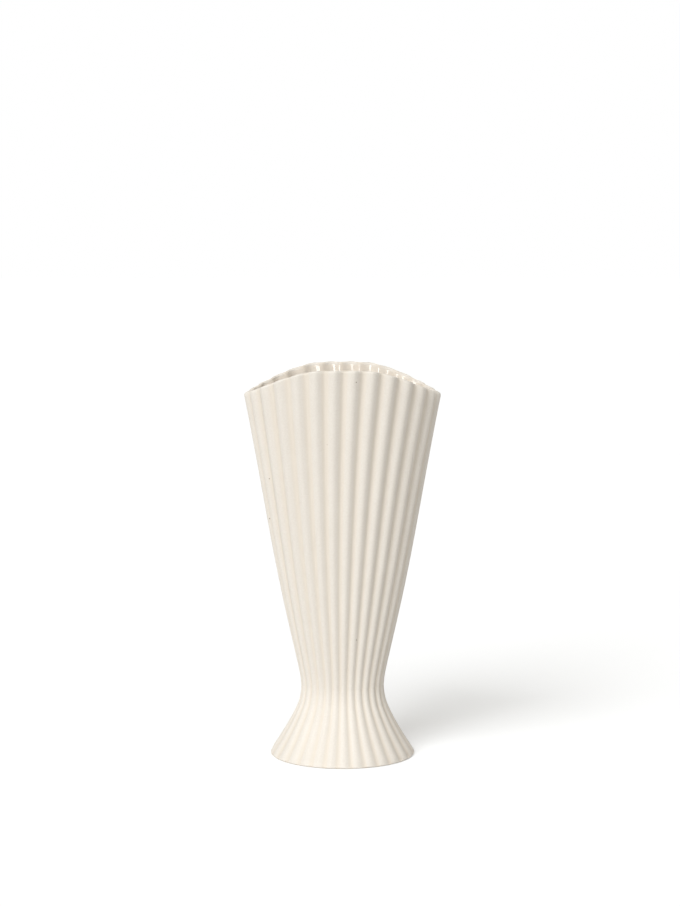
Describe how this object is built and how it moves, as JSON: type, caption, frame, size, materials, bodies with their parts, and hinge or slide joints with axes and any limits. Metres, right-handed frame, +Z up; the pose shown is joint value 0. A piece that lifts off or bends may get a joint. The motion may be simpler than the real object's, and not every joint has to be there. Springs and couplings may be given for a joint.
{
  "type": "fluted fan vase",
  "caption": "Ribbed ceramic vase with an arched oval fan mouth, a narrow waist and a flared foot, for holding cut flowers in water.",
  "frame": {"origin": "on the table, under the middle of the vase", "axes": "+Z up through the middle of the arched rim, +X along the wide side of the fan, +Y along the narrow side towards the back"},
  "size_m": [0.1512, 0.1206, 0.3],
  "materials": {
    "matt_glaze": "matte",
    "gloss_glaze": "gloss",
    "bare_clay": "matte",
    "clay_slip": "matte"
  },
  "bodies": {
    "root": {"fan_casting": "matt_glaze", "waist_slip_joint": "clay_slip", "foot_casting": "matt_glaze", "base_plate": "bare_clay", "plate_slip_joint": "clay_slip"}
  },
  "joints": []
}
